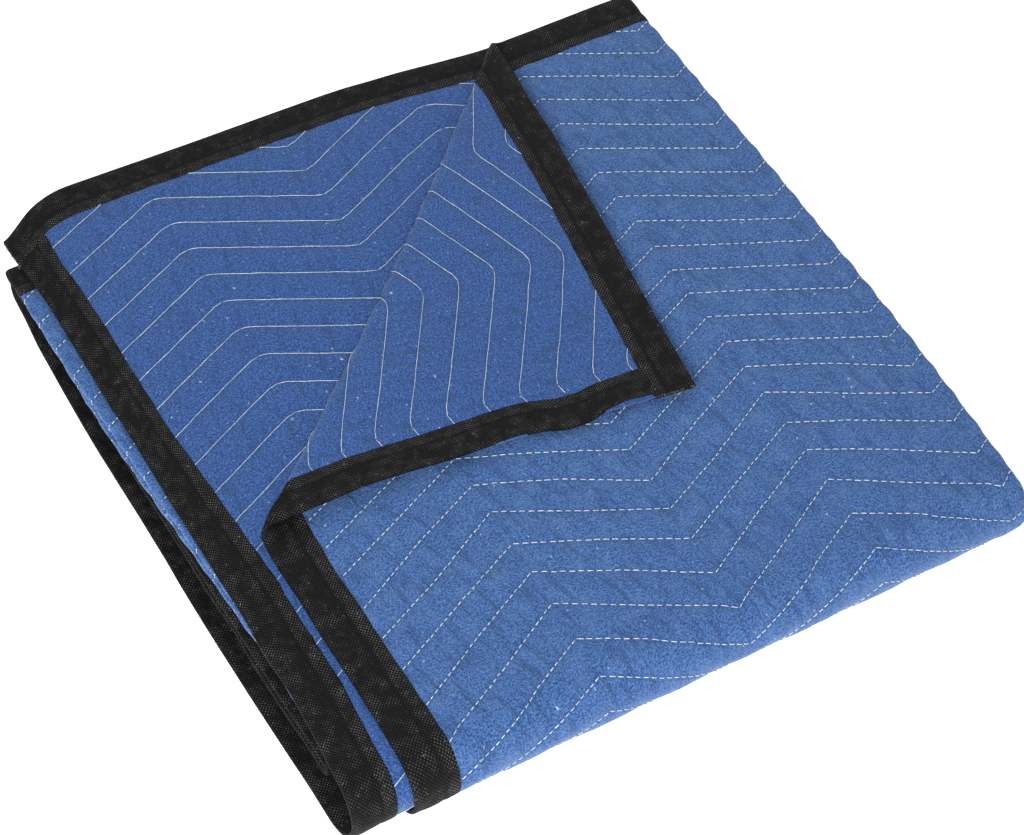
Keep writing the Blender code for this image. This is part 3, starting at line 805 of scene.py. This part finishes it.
def tubes(places, rises, radii, sides):
    """Corners and faces of tubes along rows of places; rises point out of the cloth."""
    count, stations = places.shape[:2]
    ways = np.gradient(places, axis=1)
    ways /= np.linalg.norm(ways, axis=2, keepdims=True) + 1e-12
    across_way = np.cross(ways, rises)
    across_way /= np.linalg.norm(across_way, axis=2, keepdims=True) + 1e-12
    turns = 2 * math.pi * (np.arange(sides) + 0.5) / sides
    rings = [places + radii[..., None] * (np.cos(t) * rises + np.sin(t) * across_way) for t in turns]
    corners = np.stack(rings, 2).reshape(-1, 3)
    first = (np.arange(count)[:, None] * stations + np.arange(stations - 1)).ravel() * sides
    faces = []
    for k in range(sides):
        after = (k + 1) % sides
        faces.append(np.stack([first + k, first + after, first + sides + after, first + sides + k], -1))
    ends = [np.arange(sides)[::-1] + at * stations * sides for at in range(count)]
    ends += [np.arange(sides) + (at * stations + stations - 1) * sides for at in range(count)]
    return corners, np.concatenate(faces).tolist() + [end.tolist() for end in ends]


def sewn_path(rows, u, row):
    """Place across the rows where a row lies at u."""
    even, sewn = np.array(FED).T
    nominal = rows[1] + ROW_PITCH * row + ZIG_RISE * zig(u, rows[0])
    if rows is not ROW_SETS["d"]:
        return np.interp(nominal, even, sewn)
    run = V_RUNS["top"]
    return np.where(nominal < run, run - (run - nominal) / reach_ratio(u), nominal)


def out_of_cloth(u, v, side):
    """Places on the cloth's surface and the way out of it, in metres."""
    half = surface_half(u, v, side)
    on = place(u, v, side * half)
    out = place(u, v, side * (half + 0.5)) - on
    return on, out / np.linalg.norm(out, axis=-1, keepdims=True)


def row_legs(rows, low, high):
    """The zigzag's straight legs between low and high: start, end, and whether it falls to the near side."""
    for number in range(-1, 22):
        start = rows[0] + ZIG_SPAN * (number - 1)
        begin, end = max(start, low), min(start + ZIG_SPAN, high)
        if end - begin > 2.0:
            yield begin, end, number % 2 == 0


def clear_of_tape(u, v, side):
    reach = np.minimum(u, U_ALL - u) - tape_wide(SIDE_WIDE, v, side)
    return np.minimum(reach, np.minimum(v, V_ALL - v) - tape_wide(END_WIDE, u, side))


def way_past(u, v):
    """Way of the top run's points past the corner's crease."""
    x, *_ = across(u, v)
    y, *_ = along_stack(u, v, x)
    return past_crease(x, y)[3]


def face_stitches(low_u, high_u, low_v, high_v):
    """Centres and half lengths of the stitches on the cloth's face in a part of it."""
    middles, ends = [], []
    rows = ROW_SETS["c" if low_u > C_ROWS_FROM else "a"]
    for begin, end, falls in row_legs(rows, low_u, high_u):
        pitch, length = FACE_STITCHES["falling" if falls else "rising"]
        leg = (end - begin) * math.hypot(1.0, ZIG_RISE / ZIG_SPAN)
        count = max(1, round(leg / pitch))
        for row in range(-22, 64):
            start = begin + (end - begin) * (np.arange(count) + 0.06) / count
            stop = start + (end - begin) / count * length / pitch * dice.uniform(0.9, 1.08, count)
            slip = dice.normal(0.0, 0.12, count)
            v0, v1 = sewn_path(rows, start, row) + slip, sewn_path(rows, np.minimum(stop, end), row) + slip
            keep = (np.minimum(v0, v1) > low_v) & (np.maximum(v0, v1) < high_v)
            keep &= clear_of_tape(start, v0, 1) > -2.0
            top = (start <= U_RUNS["a"]) & (v0 <= V_RUNS["top"])
            keep &= ~top | (way_past(start, v0) < 30.0)
            middles.append(np.stack([start, v0], -1)[keep])
            ends.append(np.stack([np.minimum(stop, end), v1], -1)[keep])
    return np.concatenate(middles), np.concatenate(ends)


def sew_face(name, parts):
    starts, stops = (np.concatenate(both) for both in zip(*[face_stitches(*part) for part in parts]))
    shares = np.array([0.0, 0.16, 0.84, 1.0])
    proud = np.array([-0.3, THREAD_PROUD, THREAD_PROUD, -0.3])
    thick = np.array([0.5, 1.0, 1.0, 0.5]) * FACE_THREAD
    flat = starts[:, None] + (stops - starts)[:, None] * shares[:, None]
    on, out = out_of_cloth(flat[..., 0].ravel(), flat[..., 1].ravel(), 1)
    on, out = on.reshape(-1, 4, 3), out.reshape(-1, 4, 3)
    corners, faces = tubes(on + out * proud[:, None] * MM, out, np.broadcast_to(thick * MM, on.shape[:2]), 4)
    return linked(name, corners, faces)


def sew_back(name):
    """The looper's thread on the flap and on layer d where the flap leaves it bare."""
    pieces = []
    for layer, low_u, high_u in (("a", 0.0, U_RUNS["a"]), ("d", U_START["d"], U_ALL)):
        rows = ROW_SETS[layer]
        for row in range(-22, 24):
            for begin, end, falls in row_legs(rows, low_u, high_u):
                count = max(3, round((end - begin) / BACK_STEP))
                u = np.linspace(begin, end, count)
                v = sum(share * sewn_path(rows, u + step, row) for step, share in ROUNDING)
                seen = (v > 0) & (v < V_START["base"]) & (clear_of_tape(u, v, -1) > -3.4)
                v = np.clip(v, 1.0, V_START["base"])
                if layer == "a":
                    seen &= (v < V_RUNS["top"]) & (way_past(u, v) > -6.0)
                else:
                    x, *_ = across(u, v)
                    seen &= (way_past(u, v) > -25.0) & (v < 400) | (x < -95.0)
                runs = np.split(np.arange(count), np.nonzero(np.diff(seen.astype(int)))[0] + 1)
                for run in runs:
                    if seen[run[0]] and len(run) > 2:
                        pieces.append((u[run], v[run]))
    corners, faces, total = [], [], 0
    for u, v in pieces:
        v = v + 0.35 * noise(u / 9.0, v / 40.0, 14)
        on, out = out_of_cloth(u, v, -1)
        beat = np.where(np.arange(len(u)) % 2 == 0, 0.34, 0.18)
        beat[[0, -1]] = -0.2
        thick = np.full(len(u), BACK_THREAD) * (1 + 0.15 * noise(u / 5.0, v / 5.0, 15))
        made, joined = tubes((on + out * beat[:, None] * MM)[None], out[None], thick[None] * MM, 4)
        corners.append(made)
        faces += [[total + k for k in ring] for ring in joined]
        total += len(made)
    return linked(name, np.concatenate(corners), faces)


SEAM_END = U_START["b"] + 6.0
face_thread = sew_face("face_thread", [
    (0.0, SEAM_END, 0.0, V_START["base"] + 6.0),
])
under_thread = sew_face("under_thread", [
    (0.0, SEAM_END, V_START["base"] + 6.0, V_START["third"] + 10.0),
    (0.0, SEAM_END, V_START["third"] + V_RUNS["third"], V_ALL),
    (U_START["b"] + U_RUNS["b"] - 8.0, U_START["c"] + 8.0, 0.0, V_ALL),
    (U_RUNS["a"] - 4.0, SEAM_END, V_START["third"], V_START["third"] + V_RUNS["third"]),
])
back_thread = sew_back("back_thread")

THREAD_PALE = (0.66, 0.74, 0.76)
THREAD_SHADED = (0.30, 0.40, 0.50)
thread = bpy.data.materials.new("quilting_thread")
thread.use_nodes = True
tree = thread.node_tree
shader = tree.nodes["Principled BSDF"]
solid_place = node(tree, "TexCoord")["Object"]
twist = node(tree, "TexNoise", {"Vector": solid_place, "Scale": 900.0, "Detail": 2.0})["Fac"]
sunk = node(tree, "TexNoise", {"Vector": solid_place, "Scale": 120.0, "Detail": 1.0})["Fac"]
shown = maths(tree, "MULTIPLY", spread(tree, twist, 0.35, 0.6), spread(tree, sunk, 0.35, 0.55, 0.35, 1.0))
tree.links.new(tint(tree, shown, THREAD_SHADED, THREAD_PALE), shader.inputs["Base Color"])
tree.links.new(node(tree, "Bump", {"Height": twist, "Strength": 0.4, "Distance": 0.0003})["Normal"],
               shader.inputs["Normal"])
shader.inputs["Roughness"].default_value = 0.7
for sewn in (face_thread, under_thread, back_thread):
    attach(sewn, "root")
    sewn.data.materials.append(thread)

# Binding tapes
# Black woven tape folded over each edge of the pad and sewn through; the two end tapes are sewn last and
# run out to the corners, where their cut ends show.
TAPE_OUT = 1.5
TAPE_EDGE_ROUND = 1.3
TAPE_FULL = 29.0
# The side tapes start this far in, and lie lower where the end tapes cover them
TAPE_START = 16.0
END_REACH = 25.0
UNDER_END = 0.45
# The tapes never come nearer to the middle of the cloth than this
LEAST_OVER = 1.15
# Columns: way in from the edge, height over the cloth's middle
TAPE_SECTION = [
    (29.0, 1.15), (28.2, 1.3), (26.5, 1.45), (24.5, 1.5), (22.5, 1.5), (21.0, 1.42), (20.0, 1.25),
    (19.4, 1.16),
    (18.8, 1.25), (17.8, 1.42), (16.0, 1.62), (13.5, 1.74), (11.0, 1.8), (8.5, 1.8), (6.0, 1.76), (4.0, 1.68),
    (2.6, 1.58), (1.6, 1.5),
]


def tape_profile():
    """Way in from the cloth's edge and height over its middle, from one inner edge round to the other."""
    turns = [math.pi / 2 * step / 4 for step in range(1, 5)]
    outer = TAPE_SECTION + [(TAPE_EDGE_ROUND * (1 - math.sin(t)), TAPE_OUT * math.cos(t)) for t in turns]
    return outer + [(way, -height) for way, height in reversed(outer[:-1])]


def stations(starts, runs, names, bends, low, high, step, dense):
    """Places along a tape: closer where it bends or shows, given as (from, to, step) rows."""
    places = [low, high]
    for begin, end, near in dense:
        places += list(np.arange(max(begin, low), min(end, high), near))
    for name, bend in zip(names, bends + [0.0]):
        begin, end = starts[name], starts[name] + runs[name]
        count = max(1, round((end - begin) / step))
        places += list(np.linspace(begin, end, count + 1))
        if bend:
            places += list(np.linspace(end, end + math.pi * bend, 13))
    places = np.array(sorted(p for p in places if low <= p <= high))
    return places[np.concatenate([[True], np.diff(places) > 0.4])]


# A tape that is drawn in nowhere
EVEN_PULLS = ((0.0, 0.0), (1.0, 0.0))


def make_tape(name, node_name, along_v, low, high, from_far, shift, pulls=EVEN_PULLS):
    """One tape along v (or u), over the edge at the low (or far) side of the cloth."""
    if along_v:
        spots = stations(V_START, V_RUNS, V_NAMES, [OUTER_TURN, INNER_TURN, INNER_TURN], low, high, 7.0,
                         [(0.0, 540.0, 2.4)])
        widths = SIDE_WIDE
    else:
        spots = stations(U_START, U_RUNS, "abcd", [WIDE_BEND, TIGHT_BEND, TIGHT_BEND], low, high, 7.0,
                         [(0.0, 470.0, 2.4), (U_START["d"], U_ALL, 2.4)])
        widths = END_WIDE
    profile = np.array(tape_profile())
    whole = U_ALL if along_v else V_ALL
    way, height = profile[:, 0], profile[:, 1]
    around = np.concatenate([[0.0], np.cumsum(np.hypot(np.diff(way), np.diff(height)))])
    s, k = np.meshgrid(spots, np.arange(len(profile)), indexing="ij")
    way, height, around = way[k], height[k], around[k]
    top = np.where(height >= 0, 1.0, -1.0)
    reach = tape_wide(widths, s, top)
    way = np.where(way > 1.5, 1.5 + (way - 1.5) * (reach - 1.5) / (TAPE_FULL - 1.5), way)
    inner_share = np.clip((way - 19.0) / 10.0, 0, 1)
    wander = (0.55 * noise(s / 26.0, top, shift) + 0.3 * noise(s / 7.0, top, shift + 1)) * inner_share
    flat_part = (np.abs(height) > 1.1).astype(float)
    middle = np.clip(way / 5.0, 0, 1) * np.clip((reach - way) / 6.0, 0, 1)
    # Only what shows is as puffy as the real tape; between the layers it is pressed flat
    if along_v:
        seen = np.where(top > 0, s < 560.0, s < 460.0)
    else:
        seen = (top < 0) & ((s < U_RUNS["a"]) | (s > U_START["d"]))
    puffy = np.where(seen, 1.0, 0.35)
    pucker = 0.7 * noise(s / 6.5 + way / 12.0, way / 10.0, shift + 5) * middle * puffy
    bulge = 0.75 * noise(s / 24.0, way / 22.0 + top * 5, shift + 4) * middle * puffy
    flare = 0.8 * noise(s / 31.0, 0.0, shift + 7) * np.clip(1 - way / 9.0, 0, 1)
    pulled = np.interp(s, *np.array(pulls).T) * (1 - 0.4 * np.clip(way / 29.0, 0, 1))
    places, count = [], len(profile)
    for sheet in (0.0, TAPE_THICK):
        thin = np.clip(way / TAPE_EDGE_ROUND, 0, 1)
        inner_way = np.where(way < 1.5, way + sheet * (1 - thin), way)
        over = height + top * (pucker + bulge) * flat_part
        least = np.where(flat_part > 0, LEAST_OVER, 0.0)
        over = top * np.maximum(np.abs(over), least) * flat_part + over * (1 - flat_part)
        over = over * (1 - sheet / TAPE_OUT)
        if along_v:
            over = over * (1 - UNDER_END * np.clip((END_REACH - np.minimum(s, V_ALL - s)) / 2.0, 0, 1))
        edge = np.maximum(inner_way + wander + flare, -0.6) + pulled
        across_at = whole - edge if from_far else edge
        flat = (across_at, s) if along_v else (s, across_at)
        places.append(place(flat[0].ravel(), flat[1].ravel(), over.ravel()))
    rows, size = len(spots), len(spots) * count
    faces = []
    for i in range(rows - 1):
        for j in range(count - 1):
            a = i * count + j
            ring = [a, a + count, a + count + 1, a + 1]
            faces.append(ring)
            faces.append([size + p for p in reversed(ring)])
    for i in range(rows - 1):
        a, b = i * count, (i + 1) * count
        faces.append([a, size + a, size + b, b])
        a, b = a + count - 1, b + count - 1
        faces.append([a, b, size + b, size + a])
    for j in range(count - 1):
        faces.append([j, j + 1, size + j + 1, size + j])
        last = (rows - 1) * count + j
        faces.append([last, size + last, size + last + 1, last + 1])
    if along_v == from_far:
        faces = [list(reversed(ring)) for ring in faces]
    flat = np.stack([s.ravel(), around.ravel()], -1) * MM
    piece = linked(name, np.concatenate(places), faces, np.concatenate([flat, flat]))
    # The strip inside the seam is rubbed palest; a dark line of painted shade lies in the seam's groove
    wear_and_painted_light = np.clip((way - reach + 9.0) / 1.5, 0, 1) - 1.6 * np.exp(-((way - reach * 0.667) / 0.9) ** 2)
    # Painted highlight: a pale band along the tape's rounded outer edge
    wear_and_painted_light = wear_and_painted_light + 0.6 * np.exp(-((way - 2.5) / 2.0) ** 2)
    number_attribute(piece, "wear_and_painted_light", np.concatenate([wear_and_painted_light.ravel(), wear_and_painted_light.ravel()]))
    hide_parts(node_name)
    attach(piece, "root")
    return piece


# The turned-back side edge is drawn in and out along its length. Columns: place along it, way drawn in.
FLAP_PULLS = [
    (0.0, 0.5), (22.0, 2.5), (45.0, 3.2), (62.0, 1.0), (76.0, -3.6), (92.0, -4.4), (106.0, -1.0),
    (124.0, 1.2), (150.0, 0.2), (185.0, -1.2), (230.0, 0.8), (280.0, 0.0), (1900.0, 0.0),
]
side_end = V_ALL - TAPE_START
tapes = [
    make_tape("side_binding_left", "side_tape_left", True, TAPE_START, side_end, False, 11, FLAP_PULLS),
    make_tape("side_binding_right", "side_tape_right", True, TAPE_START, side_end, True, 23),
    make_tape("end_binding_first", "end_tape_first", False, 0.0, U_ALL, False, 35),
    make_tape("end_binding_last", "end_tape_last", False, 0.0, U_ALL, True, 47),
]

# Loose ends of the end tapes' own threads stick out of their four cut ends
FRAY_COUNT = 46


def fray(name):
    places, rises = [], []
    for low_v, high_v in ((1.0, 26.0), (V_ALL - 26.0, V_ALL - 1.0)):
        for end_u, back_u in ((0.4, 3.4), (U_ALL - 0.4, U_ALL - 3.4)):
            v = dice.uniform(low_v, high_v, FRAY_COUNT)
            w = dice.choice([-1.0, 1.0], FRAY_COUNT) * dice.uniform(0.9, 1.45, FRAY_COUNT)
            root = place(np.full(FRAY_COUNT, end_u), v, w)
            way = root - place(np.full(FRAY_COUNT, back_u), v, w)
            way = way / np.linalg.norm(way, axis=1, keepdims=True)
            long = dice.uniform(0.7, 2.4, (FRAY_COUNT, 1)) * MM
            lean = dice.normal(0.0, 0.45, (FRAY_COUNT, 3)) * (0.8, 0.8, 0.3)
            steps = [root + way * long * share + lean * long * share ** 2 for share in (0.0, 0.35, 0.7, 1.0)]
            places.append(np.stack(steps, 1))
            rises.append(np.broadcast_to([0.0, 0.0, 1.0], places[-1].shape))
    places, rises = np.concatenate(places), np.concatenate(rises)
    corners, faces = tubes(places, rises, np.full(places.shape[:2], 0.12 * MM), 3)
    return linked(name, corners, faces)


frayed = fray("frayed_ends")
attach(frayed, "root")
fray_grey = bpy.data.materials.new("frayed_thread")
fray_grey.use_nodes = True
fray_grey.node_tree.nodes["Principled BSDF"].inputs["Base Color"].default_value = (0.22, 0.22, 0.21, 1.0)
fray_grey.node_tree.nodes["Principled BSDF"].inputs["Roughness"].default_value = 0.8
frayed.data.materials.append(fray_grey)

# Plain weave: two sets of rounded threads, over and under by turns
weave_group, taken, given_out = new_group(
    "tape_weave", {"Place": ("Vector", None), "Threads": ("Float", 1400.0)},
    {"Height": "Float", "Crown": "Float"})
shaken = node(weave_group, "TexNoise", {"Vector": taken["Place"], "Scale": 160.0, "Detail": 2.0})["Color"]
shaken = vector_maths(weave_group, "MULTIPLY", vector_maths(weave_group, "SUBTRACT", shaken, (0.5,) * 3),
                      (0.0012,) * 3)
counted = vector_maths(weave_group, "SCALE", vector_maths(weave_group, "ADD", taken["Place"], shaken))
weave_group.links.new(taken["Threads"], counted.node.inputs["Scale"])
counted = node(weave_group, "SeparateXYZ", {"Vector": counted})
warp_wave = maths(weave_group, "SINE", maths(weave_group, "MULTIPLY", counted[0], math.pi))
weft_wave = maths(weave_group, "SINE", maths(weave_group, "MULTIPLY", counted[1], math.pi))
crossing = maths(weave_group, "MULTIPLY", warp_wave, weft_wave)
weave_group.links.new(crossing, given_out["Height"])
weave_group.links.new(spread(weave_group, crossing, 0.2, 0.9), given_out["Crown"])

TAPE_BLACK = (0.0025, 0.0025, 0.0030)
TAPE_GREY = (0.105, 0.105, 0.105)
TAPE_LINT = (0.32, 0.32, 0.31)
tape_cloth = bpy.data.materials.new("binding_tape")
tape_cloth.use_nodes = True
tree = tape_cloth.node_tree
shader = tree.nodes["Principled BSDF"]
place_on = node(tree, "UVMap", uv_map="cloth")["UV"]
wear_and_painted_light_at = node(tree, "Attribute", attribute_name="wear_and_painted_light")["Fac"]
weave = group_node(tree, weave_group, Place=place_on, Threads=880.0)
fuzz = group_node(tree, lint_group, Place=place_on, Cells=900.0, Share=0.30, Speck=0.42)["Mask"]
patchy = node(tree, "TexNoise", {"Vector": place_on, "Scale": 95.0, "Detail": 3.0, "Roughness": 0.65})["Fac"]
# The rubbed strip, the seam's painted shade and the outer edge's painted highlight grey the weave's crowns
# and lint
greyed = spread(tree, maths(tree, "MULTIPLY_ADD", wear_and_painted_light_at, 0.13, patchy), 0.46, 0.74)
black = tint(tree, maths(tree, "MULTIPLY", weave["Crown"], spread(tree, greyed, 0.0, 1.0, 0.12, 1.0)),
             TAPE_BLACK, TAPE_GREY)
fuzz = maths(tree, "MULTIPLY", fuzz, spread(tree, greyed, 0.0, 1.0, 0.05, 0.85))
black = tint(tree, fuzz, black, TAPE_LINT)
tree.links.new(black, shader.inputs["Base Color"])
tree.links.new(spread(tree, patchy, 0.3, 0.7, 0.62, 0.8), shader.inputs["Roughness"])
shader.inputs["Specular IOR Level"].default_value = 0.12
woven = node(tree, "Bump", {"Height": weave["Height"], "Strength": 0.5, "Distance": 0.00025})["Normal"]
woven = node(tree, "Bump", {"Height": patchy, "Strength": 0.8, "Distance": 0.0025, "Normal": woven})["Normal"]
tree.links.new(woven, shader.inputs["Normal"])
for tape in tapes:
    tape.data.materials.append(tape_cloth)

visual_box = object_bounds()
boxes = {"cad": cad_box, "visual": visual_box}
{name: [list(corner) for corner in box] for name, box in boxes.items()}
